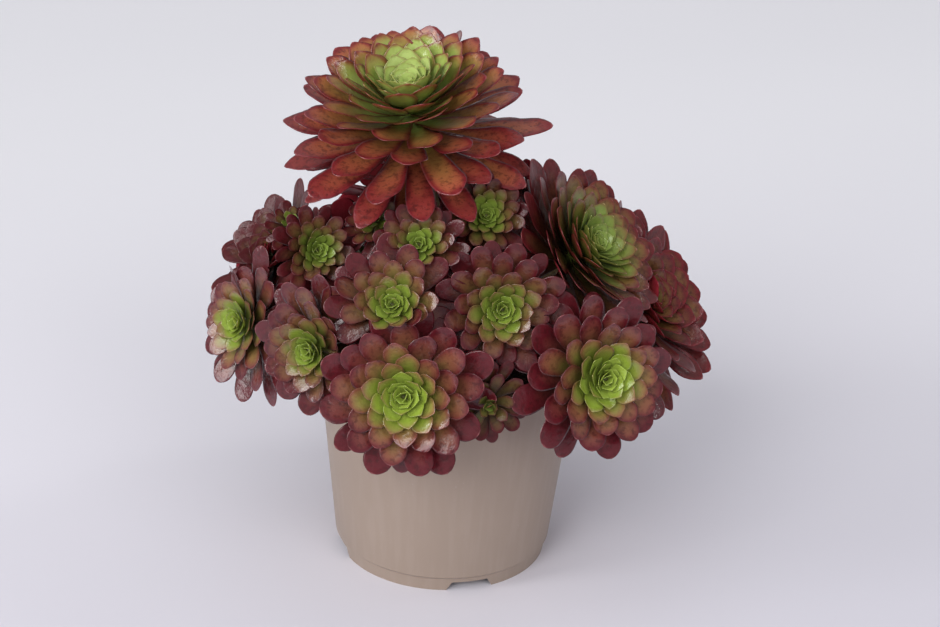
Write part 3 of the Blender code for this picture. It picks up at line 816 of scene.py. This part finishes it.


# %% [markdown]
# ## Leaf skin
#
# One finish dresses every leaf, because on the plant it is one tissue that ripens. The mesh
# notes where each point is on its leaf, how old the leaf is, and a chance of its own. Ripeness
# grows with age and towards the tip, and takes the colour from lime through olive and brown to
# wine red. A thin pale line runs round the edge, the leaf's own pale margin and, on ripe leaves,
# partly a painted highlight. The underside is crimson, partly its own colour and partly a painted
# glow of light shining through the leaf. The foot of an old leaf is painted dark as the shade
# under the leaves in front of it, which parts it from the leaf behind. Soft puckers mottle the
# skin and break up the gloss of a thin clear coat, a pale painted sheen lies on their crests, and
# russet leaves have freckles and a dark red margin. A rosette set back among the others is painted
# darker as shade.


# %% Leaf skin
def leaf_skin():
    skin = Finish("leaf_skin")
    along, across, over = skin.read("leaf_spot")
    age, chance, russet = skin.read("leaf_kind")
    tone = skin.read("leaf_painted_shade")[0]
    blotches = skin.cloud(skin.here(), 75.0, 3.0)
    puckers = skin.cloud(skin.here(), 240.0, 3.0, 0.55)
    grain = skin.cloud(skin.here(), 1300.0, 2.0)

    ripe = skin.maths("MULTIPLY_ADD", along, 0.50, skin.maths("MULTIPLY", age, 0.80))
    ripe = skin.maths("MULTIPLY_ADD", chance, 0.20, ripe)
    ripe = skin.maths("MULTIPLY_ADD", blotches, 0.16, ripe)
    ripe = skin.maths("MULTIPLY_ADD", russet, -0.10, ripe)
    edge = skin.maths("ABSOLUTE", across)
    edge = skin.maths("MAXIMUM", edge, skin.ease(along, 0.80, 1.03))
    rim = skin.maths("MULTIPLY", edge, edge)
    ripe = skin.maths("MULTIPLY_ADD", rim, skin.ease(age, 0.15, 0.55, 0.06, 0.24), ripe)
    ripe = skin.share(ripe, 0.62, 1.36)
    wine = skin.ramp(
        ripe,
        (0.00, screen_colour(160, 182, 74)),
        (0.14, screen_colour(142, 164, 56)),
        (0.28, screen_colour(140, 143, 64)),
        (0.42, screen_colour(142, 116, 66)),
        (0.60, screen_colour(132, 83, 59)),
        (0.80, screen_colour(116, 56, 50)),
        (1.00, screen_colour(92, 25, 33)),
    )
    old = skin.ramp(
        ripe,
        (0.00, screen_colour(182, 201, 116)),
        (0.20, screen_colour(160, 178, 86)),
        (0.38, screen_colour(152, 126, 64)),
        (0.58, screen_colour(166, 111, 64)),
        (0.78, screen_colour(165, 89, 61)),
        (1.00, screen_colour(134, 51, 46)),
    )
    body = skin.mix(russet, wine, old)
    # painted shade: a rosette set back among the others is mixed towards these darker colours
    shaded = skin.mix(ripe, screen_colour(92, 116, 48), screen_colour(78, 26, 28))
    body = skin.mix(skin.maths("MULTIPLY", tone, 0.8), body, shaded)

    margin = skin.maths("MULTIPLY", skin.ease(edge, 0.55, 0.95), russet)
    margin = skin.maths("MULTIPLY", margin, skin.ease(age, 0.05, 0.40, 0.25, 0.80))
    body = skin.mix(margin, body, screen_colour(118, 30, 38))
    freckles = skin.ease(skin.cloud(skin.here(), 700.0, 0.0), 0.70, 0.74)
    freckles = skin.maths("MULTIPLY", freckles, russet)
    freckles = skin.maths("MULTIPLY", freckles, skin.ease(ripe, 0.3, 1.0, 0.0, 0.5))
    body = skin.mix(freckles, body, screen_colour(58, 26, 20))
    # a thin pale line round the edge: on green leaves their own pale margin, on ripe ones partly a
    # painted pink highlight
    green_line, pink_line_and_highlight = screen_colour(208, 216, 132), screen_colour(184, 112, 112)
    line_and_highlight_colour = skin.mix(skin.ease(ripe, 0.2, 0.6), green_line, pink_line_and_highlight)
    rim_line_and_highlight = skin.maths("MULTIPLY", skin.ease(edge, 0.92, 0.99), skin.ease(ripe, 0.2, 0.9, 0.7, 0.4))
    body = skin.mix(rim_line_and_highlight, body, line_and_highlight_colour)

    mottle = skin.ease(ripe, 0.2, 0.8, 0.10, 0.55)
    mottle = skin.maths("MULTIPLY", mottle, skin.ease(puckers, 0.52, 0.32))
    body = skin.mix(mottle, body, screen_colour(60, 22, 24))
    # painted sheen: a pale pinkish grey on the crests of the puckers of ripe leaves
    painted_sheen = skin.ease(ripe, 0.5, 1.0, 0.0, 0.06)
    painted_sheen = skin.maths("MULTIPLY", painted_sheen, skin.ease(puckers, 0.50, 0.75))
    body = skin.mix(painted_sheen, body, screen_colour(130, 84, 96))
    # the underside is crimson, partly its own colour and partly a painted glow of light shining
    # through the leaf
    crimson_under_and_glow = skin.ease(ripe, 0.2, 0.8, 0.1, 0.85)
    crimson_under_and_glow = skin.maths("MULTIPLY", crimson_under_and_glow, skin.ease(over, -0.15, -0.60))
    body = skin.mix(crimson_under_and_glow, body, screen_colour(166, 46, 60))

    # painted shade: the foot of an old leaf, tucked under the younger leaves, is darkened
    foot_shade = skin.ease(russet, 0.0, 1.0, 0.85, 0.1)
    foot_shade = skin.maths("MULTIPLY", foot_shade, skin.ease(along, 0.85, 0.30))
    foot_shade = skin.maths("MULTIPLY", foot_shade, skin.ease(age, 0.10, 0.60, 0.3, 1.0))
    body = skin.mix(foot_shade, body, screen_colour(44, 24, 18))
    deep = skin.relief(puckers, 0.0009, 0.55)
    skin.set(
        base_color=body,
        roughness=skin.ease(blotches, 0.3, 0.7, 0.28, 0.42),
        specular_ior_level=0.2,
        coat_weight=skin.ease(tone, 0.4, 1.0, 0.8, 0.2),
        coat_roughness=0.14,
        coat_normal=deep,
        normal=skin.relief(grain, 0.00012, 0.5, over=deep),
    )
    return skin.material


skin = leaf_skin()
print("leaf skin mixed from", len(skin.node_tree.nodes), "nodes")

# %% [markdown]
# ## Growing
#
# A leaf starts as a sphere with its sides pushed outwards, so that it ends up flat with a crisp
# edge instead of plump. Rounding draws every shape in, so the leaf also starts a little too
# wide and too thick. Each rosette becomes two pieces, its green heart and its red leaves with
# the short core that carries them.

# %% Growing a rosette
FLATNESS = 0.55
WIDE_START, THICK_START = 1.09, 1.15


def grow_leaf(bm, leaf, rosette):
    """Adds the finished leaf and notes on each point where it is and what leaf it is on."""
    spot = bm.verts.layers.float_vector["leaf_spot"]
    kind = bm.verts.layers.float_vector["leaf_kind"]
    tone = bm.verts.layers.float["leaf_painted_shade"]
    chance, steps = dice.random(), len(LEAF_RINGS) - 1
    sphere = bmesh.ops.create_uvsphere(bm, u_segments=LEAF_SIDES, v_segments=steps, radius=1.0)
    for vert in sphere["verts"]:
        ring = round(math.acos(max(-1.0, min(1.0, vert.co.z))) / math.pi * steps)
        level = math.hypot(vert.co.x, vert.co.y)
        across, over = (vert.co.x / level, vert.co.y / level) if level > 1e-6 else (0.0, 0.0)
        along, across = LEAF_RINGS[ring], math.copysign(abs(across) ** FLATNESS, across)
        point = leaf_point(leaf, along, across * WIDE_START, over * THICK_START)
        vert.co = rosette.place @ point
        vert[spot] = (along, across, over)
        vert[kind] = (1 - (1 - leaf.age) * rosette.green, chance, rosette.russet)
        vert[tone] = rosette.tone


def leaf_mesh():
    """An empty bmesh that can carry the leaves' notes."""
    bm = bmesh.new()
    bm.verts.layers.float_vector.new("leaf_spot")
    bm.verts.layers.float_vector.new("leaf_kind")
    bm.verts.layers.float.new("leaf_painted_shade")
    return bm


def grow_core(bm, rosette):
    """Adds the short fat stem under the heart, dark with the same painted shade as its leaves'
    feet.
    """
    kind = bm.verts.layers.float_vector["leaf_kind"]
    radius, depth = rosette.core_radius, rosette.reach * 0.5
    made = bmesh.ops.create_cone(
        bm, cap_ends=True, segments=16, radius1=radius, radius2=radius * 0.5, depth=depth * 0.9
    )["verts"]
    bmesh.ops.translate(bm, verts=made, vec=(0, 0, -depth * 0.55))
    bmesh.ops.transform(bm, matrix=rosette.place, verts=made)
    for vert in made:
        vert[kind] = (0.55, 0.5, rosette.russet)


def finish_rosette(name, bm, node, slot):
    bmesh.ops.recalc_face_normals(bm, faces=bm.faces)
    made = piece(name, bm, skin)
    rounding = made.modifiers.new("Rounding", "SUBSURF")
    rounding.levels = rounding.render_levels = 1
    place_on_plant(made, slot, node)


# %% Grow them all
HEART_AGE = 0.42
obstacles = [tree_of(pot), tree_of(soil), tree_of(stem)]
grown = 0
for rosette in ROSETTES:
    leaves = leaves_of(rosette, obstacles)
    heart, outer, rough = leaf_mesh(), leaf_mesh(), bmesh.new()
    for leaf in leaves:
        grow_leaf(heart if leaf.age < HEART_AGE else outer, leaf, rosette)
        rough_leaf(rough, leaf, rosette.place, 0.0)
    grow_core(outer, rosette)
    finish_rosette(rosette.name + "_green_heart", heart, rosette.name + "_heart", "heart")
    finish_rosette(rosette.name + "_red_leaves", outer, rosette.name + "_leaves", "leaves")
    obstacles.append(BVHTree.FromBMesh(rough))
    rough.free()
    grown += len(leaves)
print(grown, "leaves grown")

# %% [markdown]
# ## Centre the plant
#
# Everything so far was drawn round the axis of the pot, which keeps the numbers simple. The
# leaves reach further to the right than to the left, so the finished plant is moved over until
# it stands centred on the origin. The meshes move and not the objects, which stay unmoved.

# %% Move every piece over
PLANT_SHIFT = -0.0095
for made in plant:
    made.data.transform(Matrix.Translation((PLANT_SHIFT, 0, 0)))
print("moved", len(plant), "pieces by", PLANT_SHIFT * 1000, "mm")

# %% [markdown]
# ## The studio
#
# The plant stands on a pale, faintly violet floor that runs on behind it. Light is painted into
# the floor's colour, so that it is a little whiter far off to the left. The light is large and
# soft: a key from the front left, a weaker fill from the front right and a little from above.
# Suns with a wide angle do this well, because the floor is then lit as evenly far away as near
# by. Mirrored in a leaf such a sun is only a milky haze, so the suns are hidden from
# reflections. Three panels stand closer, for the leaves to mirror as wet-looking patches, and
# the sheen light does nothing else.


# %% Floor and light
def floor_paint():
    paint = Finish("pale_floor")
    cloud = paint.cloud(paint.here(), 1.5, 2.0)
    lane = paint.node("ShaderNodeSeparateXYZ", {0: paint.here((0.2, 1.0, 1.0))}).outputs
    # painted light: the floor is lighter far off to the left
    painted_light_far_left = paint.ease(paint.maths("SUBTRACT", lane[1], lane[0]), -0.4, 1.3)
    paint.set(
        base_color=paint.mix(painted_light_far_left, screen_colour(220, 217, 226), screen_colour(242, 241, 245)),
        roughness=paint.ease(cloud, 0.3, 0.7, 0.70, 0.80),
        normal=paint.relief(paint.cloud(paint.here(), 900.0), 0.00005, 0.3),
    )
    return paint.material


floor_mesh = bmesh.new()
bmesh.ops.create_grid(floor_mesh, x_segments=4, y_segments=4, size=15.0)
floor = piece("studio_floor", floor_mesh, floor_paint())
PLANT_MIDDLE = Vector((0, 0, 0.25))


def soft_sun(name, towards, strength, angle):
    """A wide soft light that shines this way, and that nothing mirrors."""
    sun = bpy.data.lights.new(name, "SUN")
    sun.energy, sun.angle = strength, math.radians(angle)
    holder = bpy.data.objects.new(name, sun)
    holder.visible_glossy = False
    holder.rotation_euler = Vector(towards).to_track_quat("-Z", "Y").to_euler()
    bpy.context.scene.collection.objects.link(holder)


def soft_panel(name, place, size, power):
    """A lamp panel, this wide and high, that faces the plant's middle from this place."""
    panel = bpy.data.lights.new(name, "AREA")
    panel.shape, panel.energy = "RECTANGLE", power
    panel.size, panel.size_y = size
    holder = bpy.data.objects.new(name, panel)
    holder.location = place
    holder.rotation_euler = (PLANT_MIDDLE - Vector(place)).to_track_quat("-Z", "Y").to_euler()
    bpy.context.scene.collection.objects.link(holder)
    return holder


soft_sun("key_light", (0.50, 0.95, -0.65), 1.35, 30)
soft_sun("fill_light", (-0.60, 0.95, -0.55), 0.75, 40)
soft_sun("top_light", (0.05, 0.30, -0.95), 0.45, 70)
soft_panel("gloss_light", (-1.6, -0.8, 0.95), (0.5, 1.3), 14.0)
soft_panel("rim_light", (1.2, 0.3, 1.7), (0.4, 0.4), 3.0)
sheen_light = soft_panel("sheen_light", (-1.0, -0.75, 1.55), (1.2, 1.2), 20.0)
sheen_light.visible_diffuse = False
world = bpy.data.worlds.new("studio_air")
world.use_nodes = True
air = world.node_tree.nodes["Background"]
air.inputs["Color"].default_value = screen_colour(236, 237, 245)
air.inputs["Strength"].default_value = 0.36
bpy.context.scene.world = world
bpy.context.scene.view_settings.view_transform = "Standard"

# %% [markdown]
# ## The camera
#
# The photograph was taken from a little above, with the camera rolled by a hair. Its place
# was found by laying the pot's rim, crease and foot over the photograph's, so the numbers are
# kept as they came out.

# %% Camera
camera_data = bpy.data.cameras.new("photo_camera")
camera_data.lens, camera_data.sensor_width, camera_data.clip_start = 70.0, 36.0, 0.01
camera = bpy.data.objects.new("photo_camera", camera_data)
bpy.context.scene.collection.objects.link(camera)
tip_down, roll, distance = math.radians(23.7), math.radians(2.61), 1.44943
back = Vector((0, -math.cos(tip_down), math.sin(tip_down)))
spot = Vector((0.01534 + PLANT_SHIFT, 0, 0.20375)) + back * distance
right, up = Vector((1, 0, 0)), back.cross(Vector((1, 0, 0)))
tilted_right = right * math.cos(roll) + up * math.sin(roll)
tilted_up = up * math.cos(roll) - right * math.sin(roll)
columns = (tilted_right, tilted_up, back, spot)
camera.matrix_world = Matrix([[column[row] for column in columns] for row in range(3)]).to_4x4()
bpy.context.scene.camera = camera
print("camera at", [round(v, 3) for v in spot])
